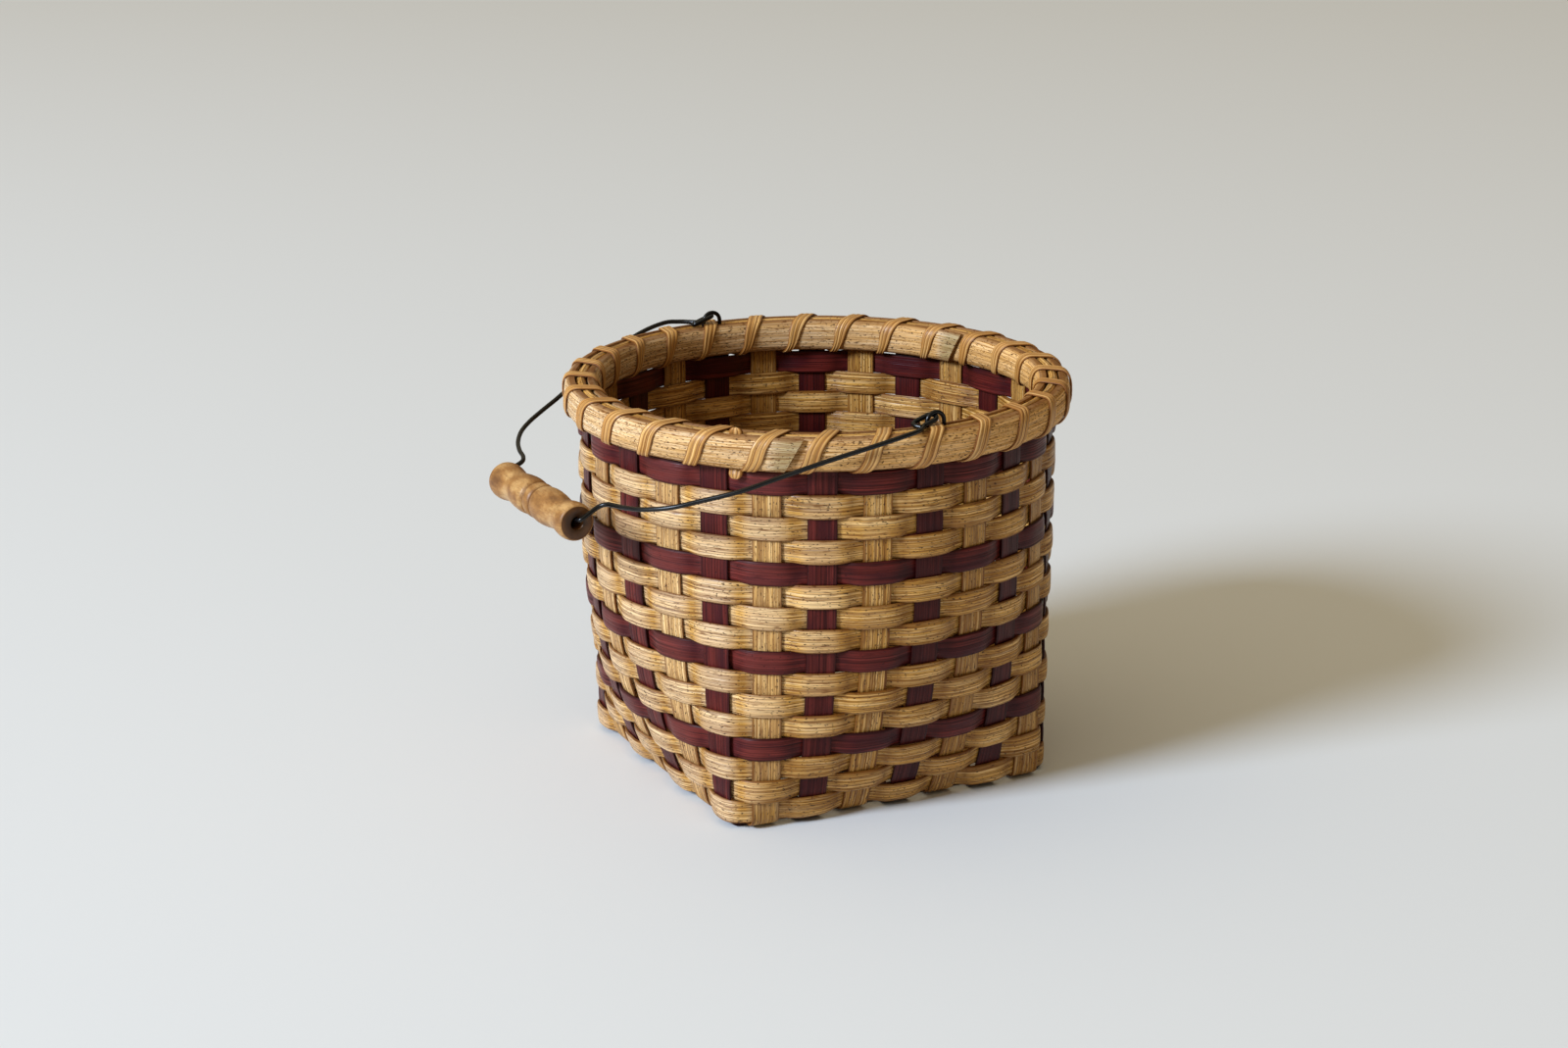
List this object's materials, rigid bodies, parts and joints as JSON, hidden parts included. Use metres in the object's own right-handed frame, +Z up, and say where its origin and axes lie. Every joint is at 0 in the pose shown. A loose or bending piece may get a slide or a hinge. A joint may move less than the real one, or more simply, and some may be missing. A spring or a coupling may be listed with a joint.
{
  "type": "snack basket",
  "caption": "Open basket with a square foot and a round rim, plain-woven from flat reed, with a lashed rim and a swinging wire bail on which a turned wooden grip spins.",
  "frame": {"origin": "middle of the woven base's underside, on the table", "axes": "+Z up out of the open mouth; the bail turns about an axis close to Y and lies folded down on the -X side, so +X points away from its grip; -Y is the front"},
  "size_m": [0.2593, 0.2308, 0.1867],
  "materials": {
    "natural_reed": "flat-oval rattan reed, straw gold, fine lengthwise fibres, satin",
    "dyed_reed": "the same reed dyed burgundy, the colour taken unevenly, satin",
    "rim_reed": "half-round reed, honey tan, coarse fibre streaks, satin",
    "filler_reed": "round reed, tan, dull",
    "lashing_reed": "split cane, pinkish tan, grooved lengthwise, satin",
    "black_wire": "black-finished steel wire, satin",
    "grip_wood": "turned hardwood, honey stain, worn satin varnish"
  },
  "bodies": {
    "basket": {"stake_front_rear_1": "natural_reed", "stake_left_right_1": "dyed_reed", "stake_front_rear_2": "dyed_reed", "stake_left_right_2": "natural_reed", "stake_front_rear_3": "natural_reed", "stake_left_right_3": "dyed_reed", "stake_front_rear_4": "dyed_reed", "stake_left_right_4": "natural_reed", "stake_front_rear_5": "natural_reed", "stake_left_right_5": "dyed_reed", "stake_front_rear_6": "dyed_reed", "stake_left_right_6": "natural_reed", "stake_front_rear_7": "natural_reed", "stake_left_right_7": "dyed_reed", "weaver_row_01": "natural_reed", "weaver_row_02": "natural_reed", "weaver_row_03": "natural_reed", "weaver_row_04": "dyed_reed", "weaver_row_05": "natural_reed", "weaver_row_06": "natural_reed", "weaver_row_07": "natural_reed", "weaver_row_08": "dyed_reed", "weaver_row_09": "natural_reed", "weaver_row_10": "natural_reed", "weaver_row_11": "natural_reed", "weaver_row_12": "dyed_reed", "weaver_row_13": "natural_reed", "weaver_row_14": "natural_reed", "weaver_row_15": "natural_reed", "weaver_row_16": "dyed_reed", "rim_row_weaver": "natural_reed", "outer_rim_hoop": "rim_reed", "inner_rim_hoop": "rim_reed", "rim_filler_reed": "filler_reed", "rim_lashing": "lashing_reed", "front_ear": "black_wire", "rear_ear": "black_wire"},
    "bail": {"bail_wire": "black_wire"},
    "grip": {"wooden_grip": "grip_wood"}
  },
  "joints": [
    {"name": "bail_swing", "type": "hinge", "parent": "basket", "child": "bail", "pos_m": [0, 0, 0.1834], "axis": [-0.0323, 0.9995, 0], "range_deg": [0, 200]},
    {"name": "grip_spin", "type": "hinge", "parent": "bail", "child": "grip", "pos_m": [-0.13512, 0.00004, 0.13775], "axis": [-0.0323, 0.9995, 0], "continuous": true}
  ]
}
